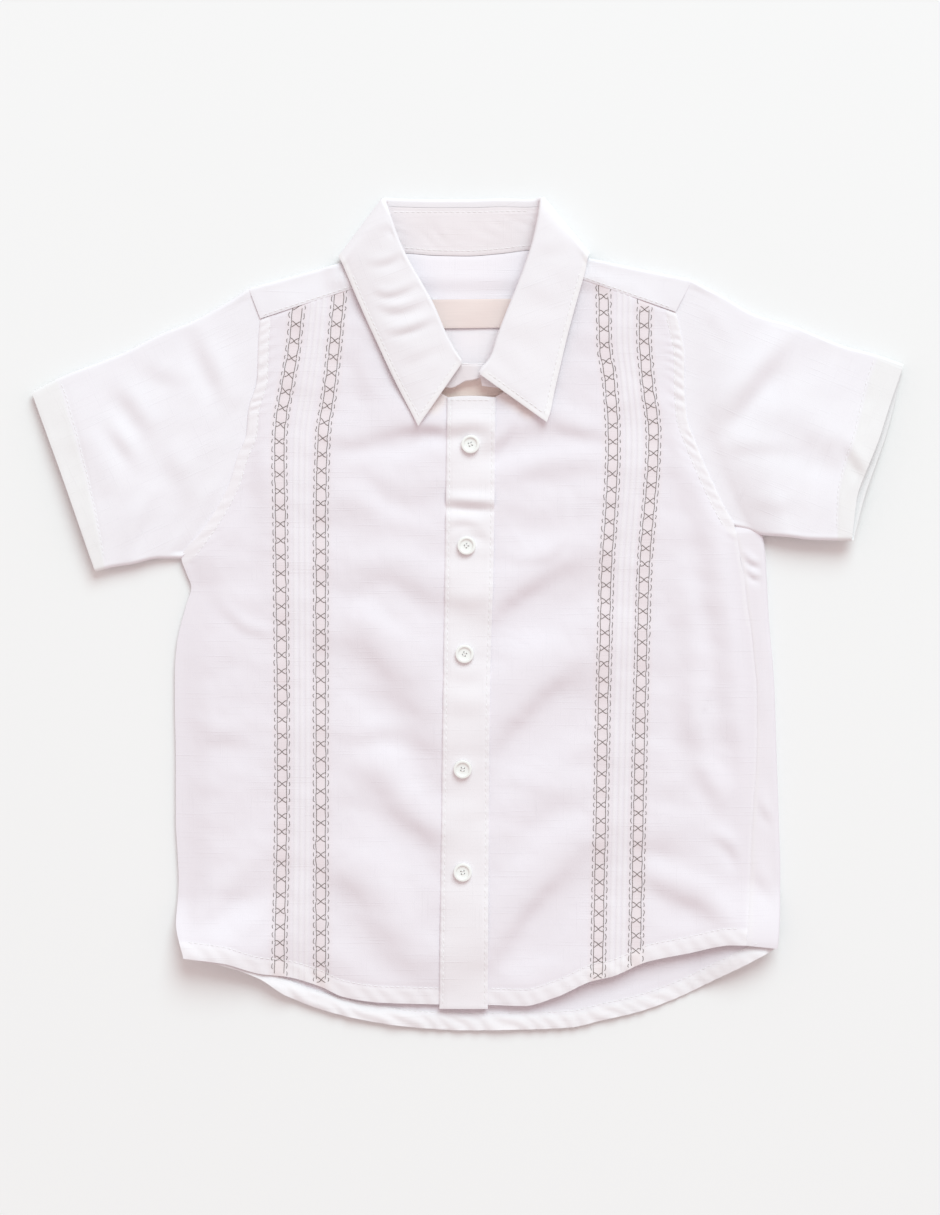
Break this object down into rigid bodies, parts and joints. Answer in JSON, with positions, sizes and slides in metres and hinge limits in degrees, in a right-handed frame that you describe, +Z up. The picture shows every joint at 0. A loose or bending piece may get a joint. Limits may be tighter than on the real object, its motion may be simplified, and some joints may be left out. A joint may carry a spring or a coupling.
{
  "type": "short-sleeve shirt",
  "caption": "Young child's short-sleeve button shirt with a collar, ladder embroidery and pintucks down both fronts, laid flat face up.",
  "frame": {"origin": "on the surface that the shirt lies on, under the middle of its box", "axes": "+Z up out of the front, +Y towards the collar, +X to the right as seen from above"},
  "size_m": [0.4529, 0.433, 0.0122],
  "materials": {
    "cotton": "white slubbed cotton, plain weave",
    "pearl": "pearly white, dished",
    "label": "blank woven tape, pale blush"
  },
  "bodies": {
    "root": {"back": "cotton", "yoke": "cotton", "front_left": "cotton", "front_right": "cotton", "placket": "cotton", "button_band": "cotton", "sleeve_left": "cotton", "sleeve_right": "cotton", "collar_stand": "cotton", "collar_fall": "cotton", "neck_label": "label", "button_1": "pearl", "button_2": "pearl", "button_3": "pearl", "button_4": "pearl", "button_5": "pearl"}
  },
  "joints": []
}
